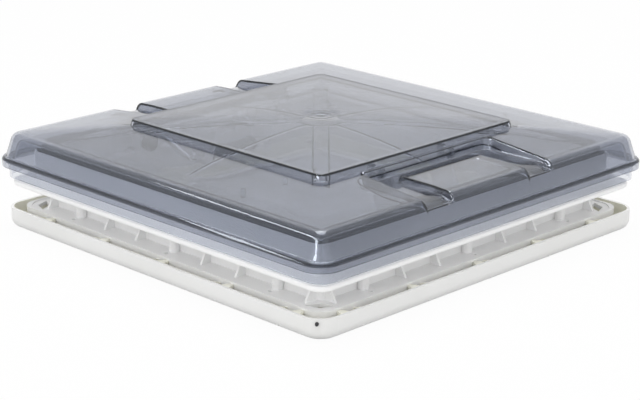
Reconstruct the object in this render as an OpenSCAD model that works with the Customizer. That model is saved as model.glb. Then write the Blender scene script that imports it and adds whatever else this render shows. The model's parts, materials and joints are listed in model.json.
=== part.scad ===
// Caravan roof vent: double-skinned smoke-grey dome that lifts level on two bails,
// white roof frame with coaming, and white ceiling frame with an insect screen.
// The front of the vent is the -Y side; the pockets of the dome are on the -Y and +Y sides.

/* [Opening] */
// Clear width of the roof frame's opening
open_w = 396; // [370:1:430]
// Corner radius of the opening
open_r = 6; // [4:1:10]

/* [Ceiling frame] */
// How far the skirt stands outside the opening
skirt_over = 41.6; // [38:0.1:48]
// Height of the skirt
skirt_h = 22; // [20:0.5:28]
// Wall thickness of the skirt
skirt_t = 3.2; // [2:0.1:4]
// Corner radius of the skirt
skirt_r = 22; // [16:1:30]
// Radius of the skirt's lower edge
skirt_edge = 10; // [6:0.5:12]
// Thickness of the frame's floor
floor_t = 4; // [4:0.5:5]
// Thickness of the wall that stands up inside the opening
spigot_t = 3; // [2:0.5:4]
// Height of the wall that stands up inside the opening
spigot_h = 26; // [22:1:34]
// Thickness of the stiffening ribs
rib_t = 2.5; // [1.5:0.5:4]
// Distance between the ribs along one side
rib_pitch = 91; // [80:1:92]

/* [Roof frame] */
// How far the roof flange reaches outside the opening
flange_over = 26.5; // [24:0.5:32]
// Thickness of the roof flange
flange_t = 4; // [3:0.5:5]
// Corner radius of the roof flange
flange_r = 24; // [20:1:30]
// Height of the wall between roof flange and coaming
wall_h = 23.5; // [20:0.5:32]
// Thickness of that wall
wall_t = 3.4; // [2.5:0.1:4]
// Diameter of the screw bosses
boss_d = 11; // [10:0.5:12]
// Diameter of the free screw holes in the roof flange
roof_hole_d = 4.2; // [3.5:0.1:5]

/* [Coaming] */
// How far the coaming's rim reaches outside the opening
rim_over = 36.5; // [34:0.5:40]
// Thickness of the coaming's rim
rim_t = 7; // [6:0.5:9]
// Height of the upstand above the rim
upstand_h = 30.5; // [30:0.1:36]
// Thickness of the upstand
upstand_t = 3.5; // [2.5:0.1:4.5]
// Corner radius of the rim
rim_r = 15; // [12:1:18]
// Height of the rubber seal on the upstand
seal_h = 8.6; // [8:0.1:9.4]

/* [Dome] */
// How far the dome's rim reaches outside the opening
dome_over = 47; // [46:0.5:54]
// Thickness of the outer skin
dome_t = 2.8; // [2:0.1:3]
// Height of the raised panel's edge above the inner pane's edge
dome_rise = 24; // [23:0.5:30]
// Height of the dome from its rim to the raised panel's edge
dome_h = 50.2; // [48:0.1:52]
// Height of the step up to the raised panel
panel_step = 6.5; // [4:0.5:9]
// How far the raised panel's edge lies inside the opening's edge
panel_in = 54.3; // [48:0.1:64]
// Rise of the raised panel from its edge to its middle
panel_crown = 4.5; // [3:0.5:6]
// Radius of the dome's top edge
dome_edge = 10; // [8:0.5:11]
// Half width of the pockets in the dome
pocket_w = 94; // [84:1:104]
// Half width of the plate in each pocket
plate_w = 57; // [48:1:64]
// Thickness of the inner pane
pane_t = 2.2; // [1.8:0.1:2.6]
// Height of the inner pane from its rim to the edge of its top
pane_h = 38.5; // [34:0.5:40]
// Rise of the inner pane's top from its edge to its middle
pane_crown = 16.5; // [14:0.5:17]

/* [Lift gear] */
// Diameter of the bails' wire
wire_d = 6; // [5:0.5:7]
// Length of the bails' legs
bail_l = 70; // [64:1:74]
// Angle of the bails under level when the dome is closed
bail_down = 20; // [15:1:22]
// Angle of the bails over level when the dome is open
bail_up = 30; // [20:1:34]
// Half width of the bails between their legs
bail_w = 60; // [54:1:66]
// Diameter of the bails' grips
grip_d = 14; // [12:0.5:16]
// Length of the bails' grips
grip_l = 60; // [50:1:64]
// Diameter of the lock knobs
knob_d = 17; // [15:0.5:18]

/* [Insect screen] */
// Width of the screen frame's bars
screen_bar = 15; // [10:1:18]
// Thickness of the screen frame
screen_t = 6; // [5:0.5:7]
// Gaps of the net along one side
net_gaps = 16; // [8:1:17]
// Thickness of the net's threads
net_d = 0.8; // [0.6:0.1:1]

/* [Fasteners] */
// Shank diameter of the large screws
screw_d = 4; // [3:0.1:4.2]
// Head diameter of the large screws
head_d = 8; // [7:0.1:8.4]
// Shank diameter of the small screws
small_d = 3.5; // [3:0.1:3.6]
// Head diameter of the small screws
small_head_d = 6.5; // [5.5:0.1:7]

/* [Hidden] */
$fn = 64;

// Clearances: still fit, running fit, free gap between pieces that move past each other,
// loose hole round a screw, and gap over the seal
fit = 0.05;
run = 0.05;
gap = 0.35;
loose = 0.4;
seal_gap = 0.2;
// Depth by which joined forms reach into each other, and by which cuts pass a face
sink = 1;
// Half width of the opening
o = open_w / 2;
// Levels of the two frames
flange_z = skirt_h - flange_t;
rim_z = skirt_h + wall_h;
rim_top = rim_z + rim_t;
upstand_z = rim_top + upstand_h;
// Levels of the two skins
pane_under = upstand_z + seal_h + seal_gap;
pane_top = pane_under + pane_t;
pane_z = pane_top - pane_h;
dome_top = pane_top + dome_rise;
dome_z = dome_top - dome_h;
// Bosses and free holes of the roof frame along one side
gusset_pitch = open_w / 8;
boss_x = 3 * gusset_pitch;
boss_y = o + 7;
boss_places = [-boss_x, 0, boss_x];
roof_hole_y = o + 17.5;
// Gussets: distance of the outer ones from the corner, reach at the foot, and head
gusset_end = 4;
gusset_over = 16;
gusset_head = 2;
gusset_drop = 3;
gusset_places = [-o + gusset_end, -2 * gusset_pitch, -gusset_pitch, gusset_pitch, 2 * gusset_pitch,
    o - gusset_end];
// Windows in the roof flange's corners, as places along the two edges
window_in = o + 6;
window_end = o - 0.5;
window_side = o + 21;
window_out = o + 15;
// Wall of the ceiling frame inside the opening
spigot_out = o - 5;
spigot_in = spigot_out - spigot_t;
spigot_r = open_r + 5;
// Stop strips that the screen lies against
stop_w = 8;
stop_t = 2;
stop_end = 9;
// Screen and net
screen_z = 3;
screen_h = spigot_in - 0.5;
stop_z = screen_z + screen_t;
net_z = screen_z + screen_t / 2 - net_d / 2;
net_h = screen_h - screen_bar;
net_groove = 2;
net_gap = 0.1;
// Turn clips
clip_x = 74;
clip_y = o + 2;
clip_l = 14;
clip_z = 0.5;
clip_t = 2.2;
clip_r = 5;
clip_head_t = 0.7;
clip_seat = 4.6;
// Screw heads, with the caps over the clamp screws
head_t = 3;
small_head_t = 2.4;
cap_d = head_d + 1.6;
cap_t = 3;
cap_z = 0.5;
clamp_head_z = floor_t + 1;
// Plugs in two of the skirt's corners
plug_d = 3;
plug_head_d = 3.6;
plug_head_t = 0.8;
plug_down = 4;
plug_turn = 217;
// Upstand and seal
upstand_in = o + 13.5;
upstand_r = 5;
upstand_out = upstand_in + upstand_t;
rim_edge = 3;
seal_out = upstand_out - 0.5;
seal_foot_t = 1.8;
seal_bulb_r = 3.8;
seal_bulb = upstand_out - 9.2;
seal_c = seal_bulb - seal_bulb_r - 0.5;
// Inner pane: corner centres, rim, lip and wall
pane_c = o + 23;
pane_rim = o + 40.2;
pane_lip = o + 43.5;
pane_lip_z = dome_z + 6.9;
pane_wall_low = o + 35.5;
pane_edge = 8;
// Pegs and star on the pane
peg_d = 5;
peg_gap = 0.6;
peg_places = [[o - 43, o - 46], [o - 41, 22], [o - 46, 94 - o], [o - 4, 108 - o]];
crown_h = o - 14;
star_in = 20;
star_rise = 0.8;
star_band = 17;
star_spoke = 3;
star_reach = crown_h - 8;
screw_post_d = 9;
screw_post_h = 6;
// Dome: corner centres, rim band, wall line, top line and raised panel
dome_c = o + 24;
dome_rim = o + dome_over;
rim_band = 8.8;
rim_ledge = 4;
rim_bevel = [1.5, 2];
wall_low = [dome_rim - rim_ledge, dome_z + rim_band + 0.9];
wall_high = [dome_rim - 12, dome_z + 33.2];
panel_h = o - panel_in;
panel_r = 6;
panel_edge = 2;
slope_drop = 8.8;
slope_high = [panel_h, dome_top - panel_step];
slope_low = [dome_rim - 14, slope_high[1] - slope_drop];
// Inward normals of the wall line and of the top line
wall_n = inward(wall_low, wall_high);
slope_n = inward(slope_low, slope_high);
edge_centre = meet(wall_low + dome_edge * wall_n, wall_high - wall_low,
    slope_low + dome_edge * slope_n, slope_high - slope_low);
// Pocket: back wall, levels of the floor, fall past the edge, and plate
pocket_back = panel_h + 4.3;
pocket_floor = [slope_high[1] - 12.5, slope_high[1] - 14.2];
pocket_fall = 9;
plate_back = pocket_back + 14;
plate_z = slope_high[1] - 7.5;
plate_foot = dome_z + rim_band + 3;
// Round mark in the middle of the raised panel: dish, deeper dish and pip
mark_d = 35;
mark_in_d = 20;
mark_pip_d = 5;
mark_deep = 0.4;
mark_z = dome_top + panel_crown;
// Bails: pivot, and the bar's place when the dome is closed and furthest out
pivot_y = o + 8;
pivot_z = rim_top + 25.5;
bar_z = pivot_z - bail_l * sin(bail_down);
bar_near = pivot_y - bail_l;
bar_far = pivot_y - bail_l * min(cos(bail_up), cos(bail_down));
grip_collar_t = 3;
grip_collar = 2;
// Tracks: play of the bar, plate, foot and its screws
bar_play = 0.9;
track_x = bail_w - 16;
track_t = 4;
track_y = bar_near - 18;
track_under = 5;
track_ends = [10, 8];
track_foot = [16, 30, 3];
track_foot_y = -track_y - 24;
track_screw_x = track_x + 8;
track_screw_y = [track_y + 3, track_y + 16];
// Pivot blocks: distance from the bail's leg, size, foot and clamping slot
block_w = 18;
block_d = 16;
block_gap = 6;
block_x = bail_w + block_gap + block_w / 2;
block_top = upstand_z - loose;
block_foot = [9, 4];
block_screw_x = block_w / 2 + 5;
block_slot = 1.2;
foot_l = block_gap + block_w - 2;
// Lock knobs
knob_z = rim_top + 12;
knob_l = 9;
knob_stem_d = 5;
knob_flutes = 8;
knob_flute_d = 4;
knob_seat = 4;

function unit(v) = v / norm(v);
function inward(a, b) = let (d = unit(b - a)) [-d[1], d[0]];
function cross2(a, b) = a[0] * b[1] - a[1] * b[0];
function meet(p, d, q, e) = p + d * cross2(q - p, e) / cross2(d, e);

// Square of half width h with rounded corners
module rounded(h, r) {
    square([2 * h, 2 * (h - r)], center = true);
    square([2 * (h - r), 2 * h], center = true);
    for (x = [-1, 1], y = [-1, 1]) translate([x * (h - r), y * (h - r)]) circle(r);
}

// Rounded square plate
module slab(h, r, z0, z1) {
    translate([0, 0, z0]) linear_extrude(z1 - z0) rounded(h, r);
}

// Rounded square ring, radii follow the inner edge
module ring(h_in, r_in, w, z0, z1) {
    difference() {
        slab(h_in + w, r_in + w, z0, z1);
        slab(h_in, r_in, z0 - 1, z1 + 1);
    }
}

// Profile of distance and height, carried round a square with corner centres at c
module around(c) {
    for (i = [0:3]) rotate(90 * i) {
        rotate([90, 0, 0]) linear_extrude(2 * c, center = true) children();
        translate([c, c, 0]) rotate_extrude(angle = 90) translate([-c, 0]) children();
    }
}

// Copies turned to all four sides, drawn for the front side
module four_sides() {
    for (i = [0:3]) rotate(90 * i) children();
}

// Copies on the front and on the rear side
module both_sides() {
    for (i = [0, 1]) rotate(180 * i) children();
}

// Edge strip of a block with a rounded lower and a rounded upper edge
module edge_strip(h, r, z0, z1, low, high) {
    translate([h - r, z0 + low]) square([r, z1 - z0 - low - high]);
    if (low > 0) {
        translate([h - r, z0]) square([r - low, low]);
        intersection() {
            translate([h - low, z0 + low]) circle(low);
            translate([h - low, z0]) square(low);
        }
    }
    if (high > 0) {
        translate([h - r, z1 - high]) square([r - high, high]);
        intersection() {
            translate([h - high, z1 - high]) circle(high);
            translate([h - high, z1 - high]) square(high);
        }
    }
}

// Rounded square block with rounded lower and upper edges
module soft_block(h, r, z0, z1, low, high) {
    around(h - r) edge_strip(h, r, z0, z1, low, high);
    translate([0, 0, (z0 + z1) / 2]) cube([2 * (h - r), 2 * (h - r), z1 - z0], center = true);
}

// Vault over a square of half width h: two crossing arcs that rise by c from the level z, set in by t
module vault(h, c, z, t) {
    r = (h * h + c * c) / (2 * c);
    intersection_for (i = [0, 1]) rotate(90 * i) rotate([90, 0, 0]) linear_extrude(2 * h, center = true)
        intersection() {
            translate([0, z + c - r]) circle(r - t, $fn = 1440);
            translate([-h, z - t - sink]) square([2 * h, 2 * c]);
        }
}

// Upright cylinder between two levels
module post(d, z0, z1) {
    translate([0, 0, z0]) cylinder(d = d, h = z1 - z0);
}

// Ceiling frame

module ceiling_rib() {
    inner = spigot_out - spigot_t / 2;
    outer = o + skirt_over - skirt_t / 2;
    tip = skirt_h - sink;
    rotate([90, 0, 90]) linear_extrude(rib_t, center = true) polygon([
        [-outer, floor_t - sink],
        [-outer, tip],
        [-outer + skirt_t, tip],
        [-(o + flange_over + sink), flange_z],
        [-inner, flange_z],
        [-inner, floor_t - sink]]);
}

module ceiling_frame() {
    color("ivory") difference() {
        union() {
            difference() {
                soft_block(o + skirt_over, skirt_r, 0, skirt_h, skirt_edge, 0);
                soft_block(o + skirt_over - skirt_t, skirt_r - skirt_t, floor_t, skirt_h + sink,
                    skirt_edge - skirt_t, 0);
            }
            ring(spigot_in, spigot_r, spigot_t, 0, spigot_h);
            four_sides() {
                for (x = [-2:2]) translate([x * rib_pitch, 0, 0]) ceiling_rib();
                for (x = boss_places) translate([x, -boss_y, 0]) post(boss_d + 2 * sink, 0, flange_z);
                translate([clip_x, -clip_y, 0]) post(2 * clip_r, floor_t - sink, floor_t + clip_seat + loose);
            }
        }
        slab(spigot_in, spigot_r, -sink, spigot_h + sink);
        four_sides() {
            for (x = boss_places) translate([x, -boss_y, 0]) {
                post(screw_d + loose, -sink, skirt_h);
                post(cap_d, -sink, clamp_head_z + head_t);
            }
            translate([clip_x, -clip_y, 0]) {
                post(2 * (clip_l + clip_r), -sink, clip_z + clip_t + gap);
                post(screw_d + 2 * fit, -sink, floor_t + clip_seat);
            }
        }
        corner_plug_places() rotate([0, 90, 0]) cylinder(d = plug_d + 2 * fit, h = skirt_r, center = true);
    }
}

module corner_plug_places() {
    c = o + skirt_over - skirt_r;
    both_sides() translate([-c, -c, skirt_h - plug_down]) rotate(plug_turn)
        translate([skirt_r, 0, 0]) children();
}

module corner_plugs() {
    color("black") corner_plug_places() rotate([0, 90, 0]) {
        cylinder(d = plug_d, h = 2 * skirt_t, center = true);
        translate([0, 0, plug_head_t / 2]) cylinder(d = plug_head_d, h = plug_head_t);
    }
}

// Insect screen

module screen_stops() {
    half = spigot_in - spigot_r - stop_end;
    color("ivory") four_sides() translate([-half, -spigot_in, stop_z]) cube([2 * half, stop_w, stop_t]);
}

module screen_frame() {
    color("white") difference() {
        ring(net_h, open_r, screen_bar, screen_z, screen_z + screen_t);
        translate([0, 0, net_z + net_d / 2])
            cube([2 * (net_h + net_groove), 2 * (net_h + net_groove), net_d + 2 * net_gap], center = true);
    }
}

module screen_net() {
    h = net_h + net_groove - loose - net_gap;
    step = 2 * (h - net_d / 2) / net_gaps;
    color("dimgray") for (i = [0:net_gaps]) {
        s = -h + net_d / 2 + i * step;
        translate([s, 0, net_z + net_d / 2]) cube([net_d, 2 * h, net_d], center = true);
        translate([0, s, net_z + net_d / 2]) cube([2 * h, net_d, net_d], center = true);
    }
}

module screen_clip(side) {
    color("white") rotate(90 * side) translate([clip_x, -clip_y, clip_z]) difference() {
        union() {
            cylinder(r = clip_r, h = clip_t);
            translate([-clip_r + loose, 0, 0]) cube([2 * (clip_r - loose), clip_l, clip_t]);
            translate([0, clip_l, 0]) cylinder(r = clip_r - loose, h = clip_t);
        }
        post(screw_d + 2 * run, -sink, clip_t + sink);
        post(small_head_d + 2 * gap, -sink, clip_head_t + gap);
    }
}

module screen_clip_front() {
    screen_clip(0);
}

module screen_clip_right() {
    screen_clip(1);
}

module screen_clip_rear() {
    screen_clip(2);
}

module screen_clip_left() {
    screen_clip(3);
}

module clip_screws() {
    color("silver") four_sides() translate([clip_x, -clip_y, 0]) {
        post(small_head_d, clip_z, clip_z + clip_head_t);
        post(screw_d, clip_z + clip_head_t, floor_t + clip_seat - loose);
    }
}

// Clamp screws and their caps

module clamp_screws() {
    color("silver") four_sides() for (x = boss_places) translate([x, -boss_y, 0]) {
        post(head_d, clamp_head_z, clamp_head_z + head_t);
        post(screw_d, clamp_head_z + head_t, skirt_h + wall_h / 2);
    }
}

module screw_caps() {
    color("white") four_sides() for (x = boss_places) translate([x, -boss_y, 0])
        post(cap_d - 2 * fit, cap_z, cap_z + cap_t);
}

// Roof frame

module gusset(x) {
    translate([x, 0, 0]) rotate([90, 0, 90]) linear_extrude(rib_t, center = true) polygon([
        [-o - wall_t / 2, flange_z + sink],
        [-o - gusset_over, flange_z + sink],
        [-o - gusset_over, skirt_h + sink / 2],
        [-o - wall_t - gusset_head, rim_z - gusset_drop],
        [-o - wall_t / 2, rim_z - gusset_drop]]);
}

module roof_frame() {
    color("white") difference() {
        union() {
            slab(o + flange_over, flange_r, flange_z, skirt_h);
            ring(o, open_r, wall_t, flange_z, rim_z);
            four_sides() {
                for (x = boss_places) translate([x, -boss_y, 0]) post(boss_d, flange_z, rim_z);
                for (x = gusset_places) gusset(x);
            }
        }
        slab(o, open_r, 0, rim_z + sink);
        four_sides() translate([0, 0, flange_z - sink]) linear_extrude(flange_t + 2 * sink) polygon([
            [window_in, window_in],
            [window_end, window_side],
            [window_out, window_out],
            [window_side, window_end]]);
        four_sides() for (x = boss_places) {
            translate([x, -boss_y, 0]) post(screw_d + 2 * fit, 0, rim_z + sink);
            translate([x, -roof_hole_y, 0]) post(roof_hole_d, 0, skirt_h + sink);
        }
    }
}

// Coaming and its seal

module coaming() {
    color("white") difference() {
        union() {
            soft_block(o + rim_over, rim_r, rim_z, rim_top, rim_edge, rim_edge);
            ring(upstand_in, upstand_r, upstand_t, rim_z + rim_edge, upstand_z);
        }
        slab(o, open_r, rim_z - sink, upstand_z);
        slab(upstand_in, upstand_r, rim_top, upstand_z + sink);
        four_sides() for (x = boss_places) translate([x, -boss_y, 0])
            post(screw_d + 2 * fit, rim_z - sink, rim_top + sink);
        block_screw_places() post(small_d + 2 * fit, rim_z + sink, rim_top + sink);
    }
}

module coaming_screws() {
    color("silver") four_sides() for (x = boss_places) translate([x, -boss_y, 0]) {
        post(head_d, rim_top, rim_top + head_t);
        post(screw_d, rim_z - wall_h / 3, rim_top);
    }
}

module coaming_seal() {
    rise = seal_h - seal_bulb_r;
    color("black") around(seal_c) translate([seal_bulb, upstand_z]) {
        square([seal_out - seal_bulb, seal_foot_t]);
        square([seal_bulb_r, rise]);
        translate([0, rise]) circle(seal_bulb_r);
    }
}

// Outer dome

// Edge strip of the dome; t is the distance inside the outer surface
module dome_edge_strip(t) {
    z = dome_z - (t > 0 ? sink : 0);
    low = meet(wall_low + t * wall_n, wall_high - wall_low, [0, wall_low[1] - t], [1, 0]);
    turn = edge_centre - (dome_edge - t) * wall_n;
    crest = edge_centre - (dome_edge - t) * slope_n;
    inner = meet(slope_low + t * slope_n, slope_high - slope_low, [dome_c, 0], [0, 1]);
    polygon([
        [dome_c, z],
        [dome_rim - t, z],
        [dome_rim - t, low[1] - (t > 0 ? 0 : rim_bevel[1])],
        [dome_rim - t - (t > 0 ? 0 : rim_bevel[0]), low[1]],
        low,
        turn,
        edge_centre,
        crest,
        inner]);
    intersection() {
        translate(edge_centre) circle(dome_edge - t);
        polygon([edge_centre, turn, turn + crest - edge_centre, crest]);
    }
}

// Sloped middle of the dome's top
module dome_middle(t) {
    inner = meet(slope_low + t * slope_n, slope_high - slope_low, [dome_c, 0], [0, 1]);
    high = meet(slope_low + t * slope_n, slope_high - slope_low, [panel_h, 0], [0, 1]);
    z = dome_z - (t > 0 ? sink : 0);
    intersection_for (i = [0, 1]) rotate(90 * i) rotate([90, 0, 0]) linear_extrude(2 * dome_c, center = true)
        polygon([
            [-dome_c, z],
            [-dome_c, inner[1]],
            [-panel_h, high[1]],
            [panel_h, high[1]],
            [dome_c, inner[1]],
            [dome_c, z]]);
}

module dome_body(t) {
    around(dome_c) dome_edge_strip(t);
    dome_middle(t);
    soft_block(panel_h - t, panel_r - t, slope_high[1] - panel_step, dome_top - t, 0, t > 0 ? 0 : panel_edge);
    vault(panel_h - panel_r, panel_crown, dome_top, t);
}

// Space of a pocket; t makes it larger by the skin's thickness
module pocket_space(t) {
    rotate([90, 0, 90]) linear_extrude(2 * (pocket_w + t), center = true) polygon([
        [-pocket_back + t, dome_top + sink],
        [-pocket_back + t, pocket_floor[0] - t],
        [-dome_c, pocket_floor[1] - t],
        [-dome_rim - pocket_fall, pocket_floor[1] - t - pocket_fall],
        [-dome_rim - pocket_fall, dome_top + sink]]);
}

// Plate that stands in a pocket; t makes it smaller by the skin's thickness
module pocket_plate(t) {
    translate([-plate_w + t, -dome_rim - sink, plate_foot])
        cube([2 * (plate_w - t), dome_rim + sink - plate_back - t, plate_z - t - plate_foot]);
}

module dome_form(t) {
    difference() {
        dome_body(t);
        both_sides() pocket_space(t);
    }
    intersection() {
        dome_body(t);
        both_sides() pocket_plate(t);
    }
}

module outer_dome() {
    color([0.35, 0.37, 0.42, 0.5]) difference() {
        dome_form(0);
        dome_form(dome_t);
        difference() {
            union() {
                post(mark_d, mark_z - mark_deep, mark_z + sink);
                post(mark_in_d, mark_z - 2 * mark_deep, mark_z);
            }
            post(mark_pip_d, mark_z - 2 * mark_deep - sink, mark_z - mark_deep);
        }
    }
}

// Inner pane

module pane_strip(t) {
    bend = pane_c + pane_edge - t;
    z = pane_z - (t > 0 ? sink : 0);
    lip = pane_lip_z - t;
    corner_z = pane_top - pane_edge;
    polygon([
        [pane_c, z],
        [pane_rim - t, z],
        [pane_rim - t, lip],
        [pane_wall_low - t, lip],
        [bend, corner_z],
        [pane_c, corner_z]]);
    translate([pane_c, z]) square([(pane_edge - t) / 2, corner_z - z + sink]);
    intersection() {
        translate([pane_c, corner_z]) circle(pane_edge - t);
        translate([pane_c, corner_z]) square(pane_edge);
    }
}

// Room that the crown leaves under the dome's pockets
module pocket_room(t) {
    both_sides() pocket_space(dome_t + gap + t);
}

module pane_body(t) {
    z = pane_z - (t > 0 ? sink : 0);
    around(pane_c) pane_strip(t);
    translate([-pane_c, -pane_c, z]) cube([2 * pane_c, 2 * pane_c, pane_top - t - z]);
    difference() {
        vault(crown_h, pane_crown, pane_top, t);
        pocket_room(t);
    }
}

// Spacer pegs between the two skins: place and height over the pane
module pegs() {
    for (x = [-1, 1], p = peg_places) {
        drop = (p[0] - panel_h) * slope_drop / (slope_low[0] - slope_high[0]);
        tip = slope_high[1] - drop - dome_t - peg_gap - peg_d / 2;
        translate([x * p[0], p[1], 0]) {
            post(peg_d, pane_top - sink, tip);
            translate([0, 0, tip]) sphere(d = peg_d);
        }
    }
}

// Raised star of bands and spokes on the pane's crown
module star() {
    difference() {
        intersection() {
            vault(crown_h, pane_crown, pane_top, -star_rise);
            translate([0, 0, pane_top]) linear_extrude(2 * pane_crown) {
                for (i = [0:3]) rotate(90 * i) {
                    rotate(45) translate([star_in, -star_band / 2]) square([star_reach, star_band]);
                    translate([star_in, -star_spoke / 2]) square([star_reach - star_in, star_spoke]);
                }
                difference() {
                    circle(star_in + star_spoke);
                    circle(star_in);
                }
            }
        }
        pocket_room(0);
    }
}

// Posts under the crown that take the tracks' screws
module screw_posts() {
    intersection() {
        pane_body(pane_t / 2);
        track_screw_places() post(screw_post_d, pane_under, pane_top + pane_crown);
    }
}

module inner_pane() {
    color([0.6, 0.63, 0.68, 0.5]) difference() {
        union() {
            difference() {
                union() {
                    pane_body(0);
                    around(pane_c) translate([pane_rim - pane_t, pane_lip_z - pane_t])
                        square([pane_lip - pane_rim + pane_t, pane_t]);
                    pegs();
                    star();
                }
                pane_body(pane_t);
            }
            screw_posts();
        }
        track_screw_places() post(small_d + 2 * fit, pane_under - sink, pane_under + screw_post_h);
    }
}

// Tracks that carry the dome on the bails

module track_screw_places() {
    both_sides() for (x = [-1, 1], y = track_screw_y) translate([x * track_screw_x, -y, 0]) children();
}

// Slot for the bail's bar, drawn as distance from the middle and height
module track_slot() {
    r = wire_d / 2 + gap;
    for (y = [bar_near, bar_far], z = [bar_z, bar_z + bar_play]) translate([-y, z]) circle(r);
    translate([-bar_far, bar_z - r]) square([bar_far - bar_near, 2 * r + bar_play]);
    for (y = [bar_near, bar_far]) translate([-y - r, bar_z]) square([2 * r, bar_play]);
}

module track(side, hand) {
    low = bar_z - wire_d / 2 - track_under;
    color("white") rotate(180 * side) mirror([hand, 0, 0]) {
        translate([track_x - track_t / 2, 0, 0]) rotate([90, 0, 90]) linear_extrude(track_t) difference() {
            polygon([
                [-bar_far - track_ends[1], low],
                [-bar_near + track_ends[0], low],
                [track_foot_y + track_foot[1], pane_under],
                [track_foot_y, pane_under],
                [-bar_far - track_ends[1], bar_z + wire_d + track_under + sink]]);
            track_slot();
        }
        difference() {
            translate([track_x - track_t / 2, track_foot_y, pane_under - track_foot[2]]) cube(track_foot);
            for (y = track_screw_y) translate([track_screw_x, -y, 0])
                post(small_d + loose, pane_under - track_foot[2] - sink, pane_under + sink);
        }
    }
}

module track_front_left() {
    track(0, 1);
}

module track_front_right() {
    track(0, 0);
}

module track_rear_left() {
    track(1, 0);
}

module track_rear_right() {
    track(1, 1);
}

module track_screws() {
    color("silver") track_screw_places() {
        post(small_head_d, pane_under - track_foot[2] - small_head_t, pane_under - track_foot[2]);
        post(small_d, pane_under - track_foot[2], pane_under + screw_post_h - sink);
    }
}

// Lift bails, drawn from the pivot with the legs level

module bail_pose() {
    translate([0, -pivot_y, pivot_z]) rotate([-bail_down, 0, 0]) children();
}

module bail() {
    color("silver") bail_pose() {
        for (x = [-1, 1]) {
            translate([x * (bail_w + foot_l), 0, 0]) rotate([0, -90 * x, 0]) cylinder(d = wire_d, h = foot_l);
            translate([x * bail_w, 0, 0]) rotate([-90, 0, 0]) cylinder(d = wire_d, h = bail_l);
            for (y = [0, bail_l]) translate([x * bail_w, y, 0]) sphere(d = wire_d);
        }
        translate([-bail_w, bail_l, 0]) rotate([0, 90, 0]) cylinder(d = wire_d, h = 2 * bail_w);
    }
}

module bail_grip() {
    color("dimgray") bail_pose() translate([0, bail_l, 0]) rotate([0, 90, 0]) difference() {
        union() {
            cylinder(d = grip_d, h = grip_l, center = true);
            for (z = [-1, 1]) translate([0, 0, z * grip_l / 2])
                cylinder(d = grip_d + grip_collar, h = grip_collar_t, center = true);
        }
        cylinder(d = wire_d + 2 * fit, h = grip_l + grip_d, center = true);
    }
}

module lift_bail_front() {
    bail();
}

module lift_bail_rear() {
    rotate(180) bail();
}

module bail_grip_front() {
    bail_grip();
}

module bail_grip_rear() {
    rotate(180) bail_grip();
}

// Pivot blocks that hold the bails on the coaming

module block_screw_places() {
    both_sides() for (x = [-1, 1], s = [-1, 1])
        translate([x * (block_x + s * block_screw_x), -pivot_y, 0]) children();
}

module pivot_block(side, hand) {
    back = upstand_in;
    color("white") rotate(180 * side) mirror([hand, 0, 0]) difference() {
        union() {
            translate([block_x - block_w / 2, -back, rim_top]) cube([block_w, block_d, block_top - rim_top]);
            translate([block_x - block_w / 2 - block_foot[0], -back, rim_top])
                cube([block_w + 2 * block_foot[0], block_d, block_foot[1]]);
        }
        translate([block_x, -pivot_y, pivot_z]) rotate([0, 90, 0])
            cylinder(d = wire_d + 2 * run, h = block_w + 2 * sink, center = true);
        for (s = [-1, 1]) translate([block_x + s * block_screw_x, -pivot_y, 0])
            post(small_d + loose, rim_top - sink, rim_top + block_foot[1] + sink);
        translate([block_x, -back + knob_seat, knob_z]) rotate([-90, 0, 0])
            cylinder(d = knob_stem_d + 2 * run, h = block_d);
        translate([block_x - block_slot / 2, -back - sink, knob_z - knob_stem_d])
            cube([block_slot, block_d + 2 * sink, pivot_z - knob_z + knob_stem_d]);
    }
}

module pivot_block_front_left() {
    pivot_block(0, 1);
}

module pivot_block_front_right() {
    pivot_block(0, 0);
}

module pivot_block_rear_left() {
    pivot_block(1, 0);
}

module pivot_block_rear_right() {
    pivot_block(1, 1);
}

module block_screws() {
    color("silver") block_screw_places() {
        post(small_head_d, rim_top + block_foot[1], rim_top + block_foot[1] + small_head_t);
        post(small_d, rim_z + 1.5 * sink, rim_top + block_foot[1]);
    }
}

// Knobs that clamp a pivot block on the bail
module lock_knob() {
    face = -upstand_in + block_d + gap;
    color("dimgray") translate([block_x, face, knob_z]) rotate([-90, 0, 0]) {
        difference() {
            cylinder(d = knob_d, h = knob_l);
            for (i = [1:knob_flutes]) rotate(360 / knob_flutes * i)
                translate([(knob_d + knob_flute_d) / 2 - sink, 0, -sink])
                    cylinder(d = knob_flute_d, h = knob_l + 2 * sink);
        }
        translate([0, 0, -gap - block_d + knob_seat + sink])
            cylinder(d = knob_stem_d, h = block_d - knob_seat);
    }
}

module lock_knob_front() {
    lock_knob();
}

module lock_knob_rear() {
    rotate(180) lock_knob();
}

ceiling_frame();
screen_stops();
screen_frame();
screen_net();
screen_clip_front();
screen_clip_right();
screen_clip_rear();
screen_clip_left();
clip_screws();
clamp_screws();
screw_caps();
corner_plugs();
roof_frame();
coaming();
coaming_screws();
coaming_seal();
outer_dome();
inner_pane();
track_front_left();
track_front_right();
track_rear_left();
track_rear_right();
track_screws();
lift_bail_front();
lift_bail_rear();
bail_grip_front();
bail_grip_rear();
pivot_block_front_left();
pivot_block_front_right();
pivot_block_rear_left();
pivot_block_rear_right();
block_screws();
lock_knob_front();
lock_knob_rear();
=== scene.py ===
# Caravan roof vent: a smoke-grey double-skinned dome over a white roof frame and ceiling frame
import json
import math

import bmesh
import bpy
from mathutils import Matrix, Vector


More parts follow.
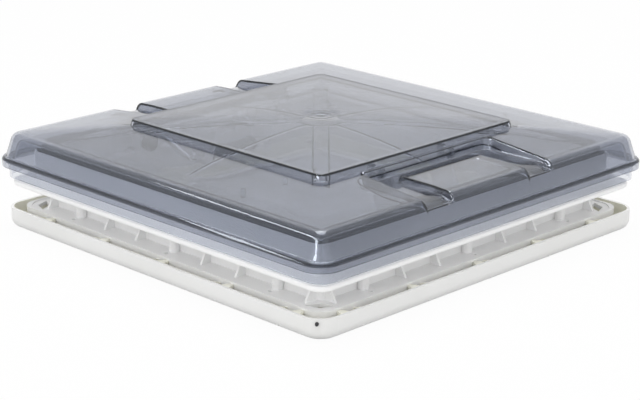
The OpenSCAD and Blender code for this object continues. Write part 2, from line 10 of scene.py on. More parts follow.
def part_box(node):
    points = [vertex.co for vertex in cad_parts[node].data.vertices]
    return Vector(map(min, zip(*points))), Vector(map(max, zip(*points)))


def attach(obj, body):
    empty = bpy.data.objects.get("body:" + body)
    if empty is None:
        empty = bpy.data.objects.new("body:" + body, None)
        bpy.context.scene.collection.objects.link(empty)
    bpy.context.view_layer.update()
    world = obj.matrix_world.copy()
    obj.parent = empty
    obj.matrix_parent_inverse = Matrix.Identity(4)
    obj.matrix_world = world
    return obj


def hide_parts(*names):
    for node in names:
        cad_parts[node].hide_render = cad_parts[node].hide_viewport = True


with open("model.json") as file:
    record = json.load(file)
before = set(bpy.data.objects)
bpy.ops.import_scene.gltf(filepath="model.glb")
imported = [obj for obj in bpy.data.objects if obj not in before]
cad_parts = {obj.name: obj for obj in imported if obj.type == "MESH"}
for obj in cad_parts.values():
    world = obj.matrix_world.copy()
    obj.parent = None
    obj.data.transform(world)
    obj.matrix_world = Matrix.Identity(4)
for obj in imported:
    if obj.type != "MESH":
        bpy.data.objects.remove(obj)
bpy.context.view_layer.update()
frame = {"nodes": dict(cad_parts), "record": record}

# Sizes in metres; what the frame knows comes from its nodes' boxes

dome_low, dome_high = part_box("outer_dome")
pane_low, pane_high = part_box("inner_pane")
track_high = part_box("track_front_left")[1]
net_low, net_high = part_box("screen_net")

# Dome: its skin, its rim, the raised panel and the slope from the panel to the top edge
SKIN = 0.0028
RIM_HALF = dome_high.x
RIM_FOOT = dome_low.z
RIM_CORNER = 0.023
CORNER_CENTRE = RIM_HALF - RIM_CORNER
PANEL_CROWN = 0.0045
PANEL_LEVEL = dome_high.z - PANEL_CROWN
PANEL_HALF = 0.1437
PANEL_CORNER = 0.009
PANEL_STEP = 0.0065
PANEL_BORDER = 0.006
SLOPE_HIGH = PANEL_LEVEL - PANEL_STEP
SLOPE_FALL = 0.0088 / 0.0873
RISER_RUN = 0.0013
HIP_BLEND = 0.002

# Round mark in the middle of the raised panel: radii of its dish, its deeper dish and its pip
MARK_RADII = (0.0175, 0.010, 0.0025)
MARK_DEEP = 0.0004
MARK_EDGE = 0.0004

# Edge of the dome: rounded top edge, leaning wall, ledge and bevelled rim
LEDGE_WIDTH = 0.004
RIM_HEIGHT = 0.0097
WALL_FOOT_REACH = RIM_HALF - LEDGE_WIDTH
WALL_FOOT_LEVEL = RIM_FOOT + RIM_HEIGHT
WALL_LEAN = 8 / 23.5
TOP_EDGE_RADIUS = 0.010
LEDGE_RADIUS = 0.0022
RIM_BEVEL = (0.0015, 0.002)
RIM_RADIUS = 0.0006

# Pockets in the front and rear edge, each with a plate
POCKET_HALF = 0.0936
POCKET_BACK = 0.1484
POCKET_CORNER = 0.007
POCKET_DEEP = 0.0125
POCKET_FLOOR = SLOPE_HIGH - POCKET_DEEP
POCKET_FALL = 0.0017 / 0.074
POCKET_MOUTH = CORNER_CENTRE
MOUTH_FALL = 9 / 32
POCKET_RUN = 0.0018
POCKET_BLEND = 0.0022
PLATE_HALF = 0.057
PLATE_BACK = 0.162
PLATE_CORNER = 0.006
PLATE_DEEP = 0.0075
PLATE_LEVEL = SLOPE_HIGH - PLATE_DEEP
PLATE_RUN = 0.0012

# Inner pane: corner centres, edge of the top, wall, rim and the lip that is glued to the dome
PANE_SKIN = 0.0022
PANE_LEVEL = track_high.z + PANE_SKIN
PANE_FOOT = pane_low.z
PANE_CENTRE = 0.221
PANE_TOP_HALF = 0.2258
PANE_TOP_RADIUS = 0.0068
PANE_WALL_HALF = 0.2335
PANE_LEDGE_RISE = 0.0069
PANE_LEDGE = RIM_FOOT + PANE_LEDGE_RISE
PANE_LEDGE_RADIUS = 0.0015
PANE_RIM_HALF = 0.2382
PANE_RIM_RADIUS = 0.0012
PANE_LIP_HALF = pane_high.x
CROWN_HALF = 0.184
CROWN_RISE = 0.0203
CROWN_BLEND = 0.001
SKIN_GAP = 0.0012

# Star on the pane's crown: ring, spokes to the middles of the sides and bands to the corners
STAR_RISE = 0.0008
STAR_RING = (0.020, 0.023)
STAR_EDGE = 0.0004
SPOKE_REACH = 0.176
SPOKE_HALF = 0.0015
BAND_REACH = 0.196
BAND_HALF = 0.0085

# Pegs that stand on the pane, and bored posts under its crown for the tracks' screws
PEG_RADIUS = 0.0025
PEG_TIP_ROUND = 0.00225
PEG_PLACES = ((0.155, 0.152), (0.157, 0.022), (0.152, -0.104), (0.194, -0.090))
PEG_GAP = 0.0006
POST_RADIUS = 0.0045
POST_BORE = 0.0016
POST_PLACES = ((0.052, 0.121), (0.052, 0.134))
POST_ROOF = 0.0015
FOOT_GAP = 0.00005

# Mesh lines of the skins: spacing on plain stretches, then margin past each detail and spacing there
DOME_SPACING = 0.012
PANE_SPACING = 0.007
MARK_LINES = (0.0010, 0.0023)
RISER_LINES = (0.0020, 0.0008)
POCKET_LINES = (0.0024, 0.0006)
PLATE_LINES = (0.0016, 0.00065)
STAR_LINES = (0.0018, 0.0008)
SET_DOWN_LINES = (0.0022, 0.0008)

# Steps of the skins' edges along arcs and straight runs, and the fold from which an edge is sharp
ARC_TURN = math.radians(10)
EDGE_STRIDE = 0.008
SHARP_FOLD = math.radians(40)

# Raised edge of the roof flange: inner and outer half, their corners, and lower and upper level
LIP_HALVES = (0.22455, 0.2262)
LIP_CORNERS = (0.024, 0.017)
LIP_LEVELS = (0.0165, 0.0231)

# Ceiling frame: centres of the skirt's corners, reach of its inner face from them, and channel floor, which
# bound the paler shades painted inside the skirt as light
SKIRT_CENTRE = 0.2176
SKIRT_INSIDE = 0.0190
SKIRT_BLEND = 0.0002
CHANNEL_LEVELS = (0.0036, 0.0040)

# Tabs on the ceiling frame's skirt that bridge the slot beside the roof flange
TAB_PLACES = (-0.203, -0.108, -0.014, 0.077, 0.167)
TAB_REACH = (0.2263, 0.2372)
TAB_LEVELS = (0.0178, 0.0214)
TAB_WIDTHS = (0.005, 0.013)
TAB_EDGE = 0.0006

# Insect net
NET_PITCH = 0.0022
NET_THREAD = 0.00042

# Camera of the studio view
LENS = 103.32
SENSOR_WIDTH = 36
CAMERA_PLACE = Vector((-1.319446, -1.316387, 0.627690))
CAMERA_AIM = Vector((-0.000425, 0.000426, 0.02871))
CAMERA_ROLL = math.radians(0.242)

# Floor, room and lamps
FLOOR_HALF = 6.0
FLOOR_GREY = 0.5
FLOOR_WHITE_SHARE = 0.96
ROOM_LIGHT = 0.94
LAMP_AIM = Vector((0, 0, 0.08))

# Softboxes: name, place, width and height, radiance
SOFTBOXES = (
    ("left_softbox", (-1.55, -0.35, 0.70), (1.3, 1.1), 0.8),
    ("top_softbox", (0.1, 0.1, 2.0), (1.6, 1.6), 5.5),
    ("right_softbox", (-0.35, -1.55, 0.50), (1.3, 0.7), 0.6),
)

# Strip lights: name, start, end, width, radiance
STRIP_LIGHTS = (
    ("near_strip", (-1.2, -0.60, 0.41), (-1.2, 0.94, 0.86), 0.16, 16.0),
    ("far_strip", (-1.2, 0.94, 0.86), (-1.2, 1.95, 1.68), 0.13, 12.0),
)


# Shader trees

# Parts of a noise's range over which a finish goes from its first shade to its second
MIDDLE_SPREAD = (0.3, 0.7)
UPPER_SPREAD = (0.35, 0.7)

# Sockets of a Mix node that serve colours
MIX_SHARE = 0
MIX_FIRST = 6
MIX_SECOND = 7
MIX_RESULT = 2


class Wire:
    """A node's output; arithmetic on it adds Math nodes to its tree."""

    def __init__(self, web, socket):
        self.web = web
        self.socket = socket

    def _math(self, operation, left, right):
        return self.web.node("ShaderNodeMath", {"operation": operation}, {0: left, 1: right})

    def __add__(self, other):
        return self._math("ADD", self, other)

    def __radd__(self, other):
        return self._math("ADD", other, self)

    def __sub__(self, other):
        return self._math("SUBTRACT", self, other)

    def __rsub__(self, other):
        return self._math("SUBTRACT", other, self)

    def __mul__(self, other):
        return self._math("MULTIPLY", self, other)

    def __rmul__(self, other):
        return self._math("MULTIPLY", other, self)

    def either(self, other):
        return self._math("MAXIMUM", self, other)

    def size(self):
        return self._math("ABSOLUTE", self, 0.0)


class Web:
    """A node tree in which each node is made in one call."""

    def __init__(self, tree):
        self.tree = tree

    def node(self, kind, settings=None, sockets=None, output=0):
        made = self.tree.nodes.new(kind)
        for name, value in (settings or {}).items():
            setattr(made, name, value)
        for name, value in (sockets or {}).items():
            self.feed(made.inputs[name], value)
        return Wire(self, made.outputs[output]) if made.outputs else None

    def feed(self, socket, value):
        if isinstance(value, Wire):
            self.tree.links.new(value.socket, socket)
        else:
            socket.default_value = value

    def place(self):
        return self.node("ShaderNodeTexCoord", output="Object")

    def noise(self, scale, detail=2.0, stretch=(1, 1, 1)):
        spot = self.node("ShaderNodeMapping", sockets={"Vector": self.place(), "Scale": stretch})
        return self.node("ShaderNodeTexNoise", sockets={"Vector": spot, "Scale": scale, "Detail": detail})

    def ramp(self, value, low, high, start=0.0, end=1.0):
        return self.node("ShaderNodeMapRange", {"clamp": True}, {
            "Value": value, "From Min": low, "From Max": high, "To Min": start, "To Max": end})

    def mix(self, share, first, second):
        sockets = {MIX_SHARE: share, MIX_FIRST: first, MIX_SECOND: second}
        return self.node("ShaderNodeMix", {"data_type": "RGBA"}, sockets, MIX_RESULT)


class Finish(Web):
    """A material with one Principled shader."""

    def __init__(self, name, **constants):
        self.material = bpy.data.materials.new(name)
        self.material.use_nodes = True
        super().__init__(self.material.node_tree)
        self.shader = self.tree.nodes["Principled BSDF"]
        self.shade(**constants)

    def shade(self, **values):
        for name, value in values.items():
            self.feed(self.shader.inputs[name.replace("_", " ")], value)

    def tones(self, pattern, spread, first, second):
        """A colour that wanders from the first shade to the second with a noise."""
        return self.mix(self.ramp(pattern, *spread), first, second)

    def bump(self, height, strength, distance):
        return self.node("ShaderNodeBump", sockets={
            "Height": height, "Strength": strength, "Distance": distance})


def rgb(red, green, blue):
    return (red, green, blue, 1)


def satin_texture(finish, cloud, rough):
    """The fine grain that a mould leaves: roughness about one value, with small specks."""
    speck = finish.noise(scale=900.0)
    finish.shade(
        Roughness=finish.ramp(
            speck + cloud * 0.5, low=0.4, high=1.1, start=rough - 0.06, end=rough + 0.08),
        Normal=finish.bump(speck, strength=0.12, distance=0.0002))


def moulded_plastic(name, first, second, rough):
    finish = Finish(name)
    cloud = finish.noise(scale=14.0, detail=3.0)
    finish.shade(Base_Color=finish.tones(cloud, UPPER_SPREAD, first, second))
    satin_texture(finish, cloud, rough)
    return finish.material


def ceiling_plastic(name, outer, inner, rough):
    """Moulded plastic with paler cream shades inside the skirt, above the channel's floor; their extra
    paleness is painted light that stands in for light bouncing down into the deep channel.
    """
    finish = Finish(name)
    along, across, level = (
        finish.node("ShaderNodeSeparateXYZ", sockets={"Vector": finish.place()}, output=axis)
        for axis in "XYZ")
    beyond = finish.node("ShaderNodeCombineXYZ", sockets={
        "X": (along.size() - SKIRT_CENTRE).either(0.0),
        "Y": (across.size() - SKIRT_CENTRE).either(0.0)})
    reach = finish.node("ShaderNodeVectorMath", {"operation": "LENGTH"}, {0: beyond}, "Value")
    painted_light_inside = finish.ramp(reach, SKIRT_INSIDE - SKIRT_BLEND, SKIRT_INSIDE + SKIRT_BLEND, start=1.0, end=0.0)
    cloud = finish.noise(scale=11.0, detail=3.0)
    # The paler inside shades are painted light: brighter copies of the plastic where the deep channel gets
    # too little light
    finish.shade(Base_Color=finish.mix(
        painted_light_inside * finish.ramp(level, *CHANNEL_LEVELS),
        finish.tones(cloud, UPPER_SPREAD, *outer),
        finish.tones(cloud, MIDDLE_SPREAD, *inner)))
    satin_texture(finish, cloud, rough)
    return finish.material


def skin_acrylic(name, first, second):
    finish = Finish(name, Transmission_Weight=1.0, IOR=1.50, Specular_Tint=rgb(0.84, 0.90, 1.0))
    cloud = finish.noise(scale=7.0)
    flow = finish.noise(scale=26.0)
    finish.shade(
        Base_Color=finish.tones(cloud, UPPER_SPREAD, first, second),
        Roughness=finish.ramp(flow, *MIDDLE_SPREAD, start=0.01, end=0.03),
        Normal=finish.bump(flow, strength=0.04, distance=0.0008))
    return finish.material


def seal_rubber(name, first, second):
    finish = Finish(name)
    speck = finish.noise(scale=420.0, detail=4.0)
    finish.shade(
        Base_Color=finish.tones(speck, UPPER_SPREAD, first, second),
        Roughness=finish.ramp(speck, *MIDDLE_SPREAD, start=0.5, end=0.72),
        Normal=finish.bump(speck, strength=0.3, distance=0.0003))
    return finish.material


def drawn_steel(name, first, second, stretch):
    """Bright steel with fine lines along one direction."""
    finish = Finish(name, Metallic=1.0)
    lines = finish.noise(scale=260.0, detail=3.0, stretch=stretch)
    finish.shade(
        Base_Color=finish.tones(lines, MIDDLE_SPREAD, first, second),
        Roughness=finish.ramp(lines, *MIDDLE_SPREAD, start=0.22, end=0.38),
        Normal=finish.bump(lines, strength=0.1, distance=0.0002))
    return finish.material


def spun_thread(name, first, second):
    finish = Finish(name)
    strand = finish.noise(scale=700.0, detail=3.0)
    finish.shade(
        Base_Color=finish.tones(strand, MIDDLE_SPREAD, first, second),
        Roughness=finish.ramp(strand, *MIDDLE_SPREAD, start=0.55, end=0.75))
    return finish.material


FINISHES = {
    "ceiling_white": ceiling_plastic(
        "ceiling_white",
        outer=(rgb(0.785, 0.785, 0.777), rgb(0.76, 0.76, 0.747)),
        # inner: paler shades painted as light inside the skirt's channel, standing in for bounce light
        inner=(rgb(0.90, 0.89, 0.80), rgb(0.87, 0.86, 0.75)),
        rough=0.40),
    # frame_white is paler than the frames' own white: painted light that stands in for light missing from
    # the shaded recess under the dome
    "frame_white": moulded_plastic(
        "frame_white", rgb(0.90, 0.90, 0.90), rgb(0.875, 0.875, 0.88), rough=0.40),
    "smoke_skin": skin_acrylic("smoke_skin", rgb(0.54, 0.558, 0.61), rgb(0.52, 0.538, 0.59)),
    "clear_skin": skin_acrylic("clear_skin", rgb(0.78, 0.798, 0.84), rgb(0.76, 0.778, 0.82)),
    "black_rubber": seal_rubber("black_rubber", rgb(0.012, 0.012, 0.014), rgb(0.03, 0.03, 0.034)),
    "screw_steel": drawn_steel(
        "screw_steel", rgb(0.66, 0.66, 0.65), rgb(0.5, 0.5, 0.5), stretch=(1, 1, 6)),
    "bail_steel": drawn_steel(
        "bail_steel", rgb(0.70, 0.70, 0.69), rgb(0.56, 0.56, 0.56), stretch=(0.2, 4, 4)),
    "grey_plastic": moulded_plastic(
        "grey_plastic", rgb(0.14, 0.145, 0.15), rgb(0.11, 0.115, 0.12), rough=0.46),
    "net_thread": spun_thread("net_thread", rgb(0.76, 0.77, 0.79), rgb(0.82, 0.83, 0.85)),
}


def dress_nodes():
    """Gives each node of the frame the finish of its slot in the record."""
    for part in frame["record"]["subparts"]:
        for slot in frame["nodes"][part["node"]].material_slots:
            slot.material = FINISHES[part["material_slot"]]


# Levels of the skins

def soft_min(first, second, width):
    near = max(width - abs(first - second), 0.0) / width
    return min(first, second) - near * near * width / 4


def soft_max(first, second, width):
    return -soft_min(-first, -second, width)


def step(inside, width):
    """Soft step from 0 to 1 over a width on either side of an edge."""
    share = min(max(inside / (2 * width) + 0.5, 0.0), 1.0)
    return share * share * (3 - 2 * share)


def past_corner(side, end, corner):
    """Distance past a rounded corner; both measures start at the centre of its arc."""
    return math.hypot(max(side, 0.0), max(end, 0.0)) + min(max(side, end), 0.0) - corner


def past_square(x, y, half, corner):
    """Distance outside a rounded square; negative inside it."""
    return past_corner(abs(x) - half + corner, abs(y) - half + corner, corner)


def past_notch(x, y, half, back, corner):
    """Distance outside the rounded notches in the front and rear edge; negative inside them."""
    return past_corner(abs(x) - half + corner, back + corner - abs(y), corner)


def round_mark(radius):
    dish, deeper, pip = (step(edge - radius, MARK_EDGE) for edge in MARK_RADII)
    return MARK_DEEP * (dish + deeper - pip)


def dome_top(x, y):
    reach = soft_max(abs(x), abs(y), HIP_BLEND)
    slope = SLOPE_HIGH - max(reach - PANEL_HALF, 0.0) * SLOPE_FALL
    arch = 1 - (reach / (PANEL_HALF - PANEL_BORDER)) ** 2
    panel = PANEL_LEVEL + PANEL_CROWN * max(arch, 0.0)
    raised = step(-past_square(x, y, PANEL_HALF, PANEL_CORNER), RISER_RUN)
    return slope + (panel - slope) * raised - round_mark(math.hypot(x, y))


def pocket_floor(y):
    out = abs(y)
    return POCKET_FLOOR - (out - POCKET_BACK) * POCKET_FALL - max(out - POCKET_MOUTH, 0.0) * MOUTH_FALL


def set_down(x, y, level, floor, room=0.0):
    """Level with a pocket of this floor set into it; a skin under the pocket leaves room round it."""
    past = past_notch(x, y, POCKET_HALF + room, POCKET_BACK - room, POCKET_CORNER + room)
    lower = soft_min(level, floor - room, POCKET_BLEND)
    return lower + (level - lower) * step(past, POCKET_RUN)


def dome_pockets(x, y, level):
    floor = pocket_floor(y)
    plate = step(-past_notch(x, y, PLATE_HALF, PLATE_BACK, PLATE_CORNER), PLATE_RUN)
    return set_down(x, y, level, floor + (PLATE_LEVEL - floor) * plate)


def star(x, y):
    """1 on the star's ring, spokes and bands, 0 beside them."""
    radius = math.hypot(x, y)
    along, across = max(abs(x), abs(y)), min(abs(x), abs(y))
    ring = step(STAR_RING[1] - radius, STAR_EDGE)
    spoke = step(SPOKE_HALF - across, STAR_EDGE) * step(SPOKE_REACH - along, STAR_EDGE)
    off_diagonal = (along - across) / math.sqrt(2)
    band = step(BAND_HALF - off_diagonal, STAR_EDGE) * step(BAND_REACH - radius, STAR_EDGE)
    return step(radius - STAR_RING[0], STAR_EDGE) * max(ring, spoke, band)


def pane_top(x, y):
    reach = soft_max(abs(x), abs(y), HIP_BLEND)
    crown = PANE_LEVEL + CROWN_RISE * (1 - (reach / CROWN_HALF) ** 2) + STAR_RISE * star(x, y)
    return soft_max(crown, PANE_LEVEL, CROWN_BLEND)


def pane_under_pockets(x, y, level):
    return set_down(x, y, level, pocket_floor(y), SKIN + SKIN_GAP)


# Meshes

def crosslines(limit, wide, *stretches):
    """Places of mesh lines from -limit to limit, at most a wide spacing apart.

    A stretch has its start, its end and its closer spacing, and counts on both sides of the middle.
    """
    stops = {-limit, limit}
    for start, end, _ in stretches:
        stops |= {-end, -start, start, end}
    stops = sorted(stops)
    lines = []
    for low, high in zip(stops, stops[1:]):
        middle = abs(low + high) / 2
        spacing = min([wide] + [close for start, end, close in stretches if start <= middle <= end])
        count = max(1, math.ceil((high - low) / spacing))
        lines += [low + (high - low) * k / count for k in range(count)]
    return lines + [limit]


def rounded_path(*corners):
    """Points of a path past corners, each with its reach, level and radius, with an arc at each."""
    path = [Vector(corners[0][:2])]
    for before, corner, after in zip(corners, corners[1:], corners[2:]):
        here = Vector(corner[:2])
        back = (Vector(before[:2]) - here).normalized()
        on = (Vector(after[:2]) - here).normalized()
        half = back.angle(on) / 2
        centre = here + (back + on).normalized() * corner[2] / math.sin(half)
        start = here + back * corner[2] / math.tan(half) - centre
        sweep = start.angle_signed(here + on * corner[2] / math.tan(half) - centre)
        count = max(2, math.ceil(abs(sweep) / ARC_TURN))
        arc = [centre + Matrix.Rotation(-sweep * k / count, 2) @ start for k in range(count + 1)]
        path += straight_run(path[-1], arc[0]) + arc
    end = Vector(corners[-1][:2])
    return path + straight_run(path[-1], end) + [end]


def straight_run(start, end):
    """Points between two ends, without the ends."""
    count = max(1, math.ceil((end - start).length / EDGE_STRIDE))
    return [start.lerp(end, k / count) for k in range(1, count)]


def skin(lines_x, lines_y, edge, top, dents, thickness, slants=()):
    """A skin over a square: a grid whose outer rows follow the edge's path round the corners.

    Slants are the distances from the middle at which mesh lines run along the diagonals.
    """
    centre = edge[0].x
    bm = bmesh.new()
    spread_grid(bm, lines_x, lines_y, edge)
    for distance in slants:
        cut_diagonals(bm, distance, centre)
    for vert in bm.verts:
        x, y, level = vert.co
        on_top = max(abs(x), abs(y)) <= centre
        vert.co.z = dents(x, y, top(x, y) if on_top else level)
    bm.normal_update()
    bmesh.ops.solidify(bm, geom=bm.faces[:], thickness=thickness)
    bmesh.ops.recalc_face_normals(bm, faces=bm.faces[:])
    return bm


def spread_grid(bm, lines_x, lines_y, edge):
    """Adds a grid with rows at the mesh lines, and past them one row for each point of the edge."""
    rings = len(edge) - 1
    wide = len(lines_x) - 1 + 2 * rings
    deep = len(lines_y) - 1 + 2 * rings
    bmesh.ops.create_grid(bm, x_segments=wide, y_segments=deep, size=1)
    for vert in bm.verts:
        x, ring_x = line_place(lines_x, round((vert.co.x + 1) / 2 * wide), rings)
        y, ring_y = line_place(lines_y, round((vert.co.y + 1) / 2 * deep), rings)
        ring = max(abs(ring_x), abs(ring_y))
        angle = math.pi / 4 * min(abs(ring_x), abs(ring_y)) / ring if ring else 0.0
        if abs(ring_y) > abs(ring_x):
            angle = math.pi / 2 - angle
        past_centre = edge[ring].x - edge[0].x
        x += math.copysign(1, ring_x) * past_centre * math.cos(angle)
        y += math.copysign(1, ring_y) * past_centre * math.sin(angle)
        vert.co = (x, y, edge[ring].y)


def line_place(lines, index, rings):
    """Place of a mesh line, and the number of its row past the last line, signed by side."""
    last = len(lines) - 1
    inner = index - rings
    return lines[min(max(inner, 0), last)], min(inner, 0) + max(inner - last, 0)


def cut_diagonals(bm, distance, limit):
    """Cuts mesh lines on both sides of the two diagonals into the faces inside a limit."""
    for across in (Vector((1, 1, 0)), Vector((1, -1, 0)), Vector((-1, -1, 0)), Vector((-1, 1, 0))):
        inner = [face for face in bm.faces if max(map(abs, face.calc_center_median()[:2])) < limit]
        around = dict.fromkeys(part for face in inner for part in (*face.verts, *face.edges, face))
        bmesh.ops.bisect_plane(
            bm, geom=list(around), plane_co=across.normalized() * distance, plane_no=across)


def round_off(bm, geom, offset, segments, affect="EDGES"):
    bmesh.ops.bevel(
        bm, geom=geom, offset=offset, affect=affect, segments=segments, profile=0.5, material=-1)


def rounded_square(bm, half, corner, segments):
    """Adds one face on the ground, a square with rounded corners."""
    verts = bmesh.ops.create_grid(bm, x_segments=1, y_segments=1, size=half)["verts"]
    round_off(bm, verts, corner, segments, "VERTICES")


def thicken(bm, top, thickness):
    """Lifts a flat strip to its top level and gives it a wall below that."""
    strip = bm.faces[:]
    bmesh.ops.translate(bm, verts=bm.verts[:], vec=(0, 0, top))
    bm.normal_update()
    bmesh.ops.recalc_face_normals(bm, faces=strip)
    if strip[0].normal.z < 0:
        bmesh.ops.reverse_faces(bm, faces=strip)
    bmesh.ops.solidify(bm, geom=strip, thickness=thickness)
    bmesh.ops.recalc_face_normals(bm, faces=bm.faces[:])


def pillar(bm, place, foot, tip, radius):
    """Adds a round pillar and gives its top and bottom faces."""
    spot = Matrix.Translation((*place, (foot + tip) / 2))
    made = bmesh.ops.create_cone(
        bm, cap_ends=True, segments=24, radius1=radius, radius2=radius, depth=tip - foot, matrix=spot)
    ends = {face for vert in made["verts"] for face in vert.link_faces if len(face.verts) > 4}
    return sorted(ends, key=lambda face: -face.calc_center_median().z)


def piece(name, bm):
    for face in bm.faces:
        face.smooth = True
    for edge in bm.edges:
        edge.smooth = edge.calc_face_angle(0.0) < SHARP_FOLD
    mesh = bpy.data.meshes.new(name)
    bm.to_mesh(mesh)
    bm.free()
    made = bpy.data.objects.new(name, mesh)
    bpy.context.scene.collection.objects.link(made)
    return made


def fit(made, slot, body, *nodes):
    """Gives a piece its finish and its body, and puts it in the place of any nodes it stands for."""
    made.data.materials.append(FINISHES[slot])
    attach(made, body)
    if nodes:
        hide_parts(*nodes)
    return made


# Pieces

def smoke_dome():
    """The outer skin, which lets the lamps shine on the skin and the frames under it."""
    lean = 1 / WALL_LEAN
    slope_edge = SLOPE_HIGH - (CORNER_CENTRE - PANEL_HALF) * SLOPE_FALL
    wall_at_middle = WALL_FOOT_LEVEL + lean * WALL_FOOT_REACH
    slope_at_middle = SLOPE_HIGH + SLOPE_FALL * PANEL_HALF
    meet = (wall_at_middle - slope_at_middle) / (lean - SLOPE_FALL)
    edge = rounded_path(
        (CORNER_CENTRE, slope_edge, 0),
        (meet, SLOPE_HIGH - SLOPE_FALL * (meet - PANEL_HALF), TOP_EDGE_RADIUS),
        (WALL_FOOT_REACH, WALL_FOOT_LEVEL, LEDGE_RADIUS),
        (RIM_HALF - RIM_BEVEL[0], WALL_FOOT_LEVEL, RIM_RADIUS),
        (RIM_HALF, WALL_FOOT_LEVEL - RIM_BEVEL[1], RIM_RADIUS),
        (RIM_HALF, RIM_FOOT, 0))
    mark = (0.0, MARK_RADII[0] + MARK_LINES[0], MARK_LINES[1])
    riser = (PANEL_HALF - PANEL_CORNER, PANEL_HALF + RISER_LINES[0], RISER_LINES[1])
    pocket_side = (POCKET_HALF - POCKET_CORNER, POCKET_HALF + POCKET_LINES[0], POCKET_LINES[1])
    pocket_rear = (PANEL_HALF + RISER_LINES[0], POCKET_BACK + POCKET_CORNER, POCKET_LINES[1])
    plate_side = (PLATE_HALF - PLATE_CORNER, PLATE_HALF + PLATE_LINES[0], PLATE_LINES[1])
    plate_rear = (PLATE_BACK - PLATE_LINES[0], PLATE_BACK + PLATE_CORNER, PLATE_LINES[1])
    lines_x = crosslines(CORNER_CENTRE, DOME_SPACING, mark, plate_side, pocket_side, riser)
    lines_y = crosslines(CORNER_CENTRE, DOME_SPACING, mark, riser, pocket_rear, plate_rear)
    bm = skin(lines_x, lines_y, edge, dome_top, dome_pockets, SKIN)
    dome = fit(piece("smoke_dome", bm), "smoke_skin", "dome", "outer_dome")
    dome.visible_shadow = False


def clear_pane():
    """The inner skin with its pegs and posts."""
    edge = rounded_path(
        (PANE_CENTRE, PANE_LEVEL, 0),
        (PANE_TOP_HALF, PANE_LEVEL, PANE_TOP_RADIUS),
        (PANE_WALL_HALF, PANE_LEDGE, PANE_LEDGE_RADIUS),
        (PANE_RIM_HALF, PANE_LEDGE, PANE_RIM_RADIUS),
        (PANE_RIM_HALF, PANE_FOOT, 0))
    room = SKIN + SKIN_GAP
    margin, spacing = SET_DOWN_LINES
    ring = (0.0, STAR_RING[1] + STAR_LINES[0], STAR_LINES[1])
    set_down_side = (POCKET_HALF - POCKET_CORNER + room, POCKET_HALF + room + margin, spacing)
    set_down_rear = (POCKET_BACK - room - margin, POCKET_BACK + POCKET_CORNER, spacing)
    lines_x = crosslines(PANE_CENTRE, PANE_SPACING, ring, set_down_side)
    lines_y = crosslines(PANE_CENTRE, PANE_SPACING, ring, set_down_rear)
    slants = (BAND_HALF - STAR_EDGE, BAND_HALF + STAR_EDGE)
    bm = skin(lines_x, lines_y, edge, pane_top, pane_under_pockets, PANE_SKIN, slants)
    for side in (-1, 1):
        for x, y in PEG_PLACES:
            foot = pane_under_pockets(x, y, pane_top(x, y)) + FOOT_GAP
            round_peg(bm, (side * x, y), foot, dome_top(x, y) - SKIN - PEG_GAP)
        for x, y in POST_PLACES:
            for end in (-1, 1):
                bored_post(bm, (side * x, end * y), track_high.z, pane_top(x, y) - PANE_SKIN - FOOT_GAP)
    fit(piece("clear_pane", bm), "clear_skin", "dome", "inner_pane")


def round_peg(bm, place, foot, tip):
    top, _ = pillar(bm, place, foot, tip, PEG_RADIUS)
    round_off(bm, top.edges[:], PEG_TIP_ROUND, segments=4)


def bored_post(bm, place, foot, tip):
    _, bottom = pillar(bm, place, foot, tip, POST_RADIUS)
    bmesh.ops.inset_region(bm, faces=[bottom], thickness=POST_RADIUS - POST_BORE)
    bored = bmesh.ops.extrude_discrete_faces(bm, faces=[bottom])["faces"][0]
    bmesh.ops.translate(bm, verts=bored.verts[:], vec=(0, 0, tip - foot - POST_ROOF))


def glue_lip():
    """The strip round the pane's rim that is glued under the dome's ledge."""
    bm = bmesh.new()
    rounded_square(bm, PANE_LIP_HALF, PANE_LIP_HALF - PANE_CENTRE, segments=10)
    middle = bm.faces[:]
    bmesh.ops.inset_region(
        bm, faces=middle, thickness=PANE_LIP_HALF - PANE_RIM_HALF - FOOT_GAP, use_boundary=True)
    bmesh.ops.delete(bm, geom=middle, context="FACES")
    thicken(bm, PANE_LEDGE, PANE_SKIN)
    fit(piece("glue_lip", bm), "clear_skin", "dome", "inner_pane")


def flange_lip():
    """The raised edge round the roof flange, wider in the corners."""
    bm = bmesh.new()
    for half, corner in zip(LIP_HALVES, LIP_CORNERS):
        rounded_square(bm, half, corner, segments=12)
    bmesh.ops.delete(bm, geom=bm.faces[:], context="FACES_ONLY")
    bmesh.ops.bridge_loops(bm, edges=bm.edges[:])
    thicken(bm, LIP_LEVELS[1], LIP_LEVELS[1] - LIP_LEVELS[0])
    fit(piece("flange_lip", bm), "frame_white", "frame")


def slot_tabs():
    """The tabs along all four sides of the skirt."""
    half_turn = Matrix.Diagonal((-1, -1, 1, 1))
    swap_sides = Matrix(((0, 1, 0, 0), (1, 0, 0, 0), (0, 0, 1, 0), (0, 0, 0, 1)))
    bm = bmesh.new()
    for place in TAB_PLACES:
        along = Matrix.Translation((place, 0, 0))
        for turn in (Matrix.Identity(4), half_turn):
            slot_tab(bm, turn @ along)
            slot_tab(bm, turn @ swap_sides @ along)
    bmesh.ops.recalc_face_normals(bm, faces=bm.faces[:])
    fit(piece("slot_tabs", bm), "ceiling_white", "frame")


def slot_tab(bm, spot):
    """A tab on the front side, narrow at the flange and wide at the skirt, put where the spot says."""
    made = bmesh.ops.create_cube(bm, size=2)["verts"]
    for vert in made:
        at_skirt, upper = vert.co.y < 0, vert.co.z > 0
        vert.co = (vert.co.x * TAB_WIDTHS[at_skirt] / 2, -TAB_REACH[at_skirt], TAB_LEVELS[upper])
    edges = dict.fromkeys(edge for vert in made for edge in vert.link_edges)
    bmesh.ops.transform(bm, matrix=spot, verts=made)
    round_off(bm, list(edges), TAB_EDGE, segments=2)


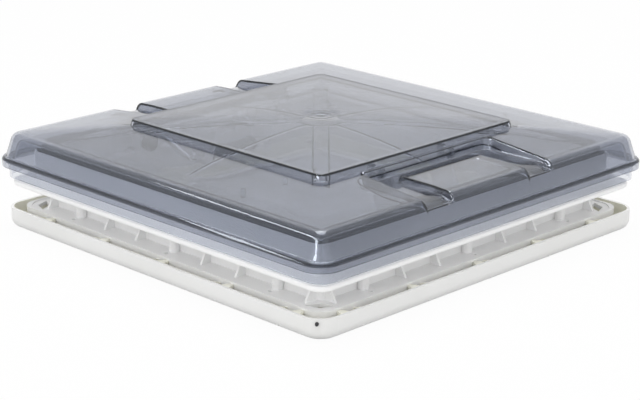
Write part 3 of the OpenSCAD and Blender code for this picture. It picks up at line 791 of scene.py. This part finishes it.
def insect_net():
    """Closed threads in both directions, stretched over the screen frame."""
    half = net_high.x
    level = (net_low.z + net_high.z) / 2
    last = half - NET_THREAD / 2
    count = round(2 * last / NET_PITCH)
    bm = bmesh.new()
    for k in range(count + 1):
        place = last * (2 * k / count - 1)
        for size, spot in (((NET_THREAD, 2 * half, NET_THREAD), (place, 0, level)),
                           ((2 * half, NET_THREAD, NET_THREAD), (0, place, level))):
            cast = Matrix.Translation(spot) @ Matrix.Diagonal((*size, 1))
            bmesh.ops.create_cube(bm, size=1, matrix=cast)
    made = fit(piece("insect_net", bm), "net_thread", "frame", "screen_net")


# Studio

def seen_directly(web):
    """1 where a ray shows the background itself, also by way of glass or gloss, and 0 where it lights."""
    camera, glossy, through = (
        web.node("ShaderNodeLightPath", output=kind)
        for kind in ("Is Camera Ray", "Is Glossy Ray", "Is Transmission Ray"))
    return camera.either(glossy).either(through)


def studio_floor():
    bm = bmesh.new()
    bmesh.ops.create_grid(bm, x_segments=1, y_segments=1, size=FLOOR_HALF)
    floor = piece("floor", bm)
    material = bpy.data.materials.new("floor")
    material.use_nodes = True
    material.node_tree.nodes.clear()
    web = Web(material.node_tree)
    paper = web.node("ShaderNodeBsdfDiffuse", sockets={"Color": rgb(FLOOR_GREY, FLOOR_GREY, FLOOR_GREY)})
    white = web.node("ShaderNodeEmission", sockets={"Color": rgb(1, 1, 1), "Strength": 1.0})
    share = seen_directly(web) * FLOOR_WHITE_SHARE
    both = web.node("ShaderNodeMixShader", sockets={0: share, 1: paper, 2: white})
    web.node("ShaderNodeOutputMaterial", sockets={"Surface": both})
    floor.data.materials.append(material)


def studio_room():
    world = bpy.data.worlds.new("studio")
    world.use_nodes = True
    world.node_tree.nodes.clear()
    web = Web(world.node_tree)
    dim = web.node("ShaderNodeBackground", sockets={"Color": rgb(1, 1, 1), "Strength": ROOM_LIGHT})
    white = web.node("ShaderNodeBackground", sockets={"Color": rgb(1, 1, 1), "Strength": 1.0})
    both = web.node("ShaderNodeMixShader", sockets={0: seen_directly(web), 1: dim, 2: white})
    web.node("ShaderNodeOutputWorld", sockets={"Surface": both})
    bpy.context.scene.world = world


def area_lamp(name, place, turn, width, height, radiance):
    lamp = bpy.data.lights.new(name, "AREA")
    lamp.shape = "RECTANGLE"
    lamp.size = width
    lamp.size_y = height
    lamp.energy = radiance * math.pi * width * height
    made = bpy.data.objects.new(name, lamp)
    made.matrix_world = Matrix.Translation(place) @ turn.to_4x4()
    bpy.context.scene.collection.objects.link(made)
    return made


def softbox(name, place, size, radiance):
    """A large lamp that faces the vent."""
    aim = LAMP_AIM - Vector(place)
    area_lamp(name, place, aim.to_track_quat("-Z", "Y").to_matrix(), *size, radiance)


def strip_light(name, start, end, width, radiance):
    """A long lamp between two points that puts a line of light on rounded edges and lights no matt face."""
    start, end = Vector(start), Vector(end)
    middle = (start + end) / 2
    along = (end - start).normalized()
    away = (middle - LAMP_AIM).normalized()
    away = (away - along * away.dot(along)).normalized()
    turn = Matrix((along, away.cross(along), away)).transposed()
    strip = area_lamp(name, middle, turn, (end - start).length, width, radiance)
    strip.visible_diffuse = False
    strip.visible_transmission = False


def studio_lamps():
    for lamp in SOFTBOXES:
        softbox(*lamp)
    for lamp in STRIP_LIGHTS:
        strip_light(*lamp)


def studio_camera():
    data = bpy.data.cameras.new("camera")
    data.lens = LENS
    data.sensor_width = SENSOR_WIDTH
    camera = bpy.data.objects.new("camera", data)
    turn = (CAMERA_AIM - CAMERA_PLACE).to_track_quat("-Z", "Y").to_matrix()
    turn = turn @ Matrix.Rotation(CAMERA_ROLL, 3, "Z")
    camera.matrix_world = Matrix.Translation(CAMERA_PLACE) @ turn.to_4x4()
    bpy.context.scene.collection.objects.link(camera)
    bpy.context.scene.camera = camera


dress_nodes()
smoke_dome()
clear_pane()
glue_lip()
flange_lip()
slot_tabs()
insect_net()
studio_floor()
studio_room()
studio_lamps()
studio_camera()
bpy.context.scene.view_settings.view_transform = "Standard"
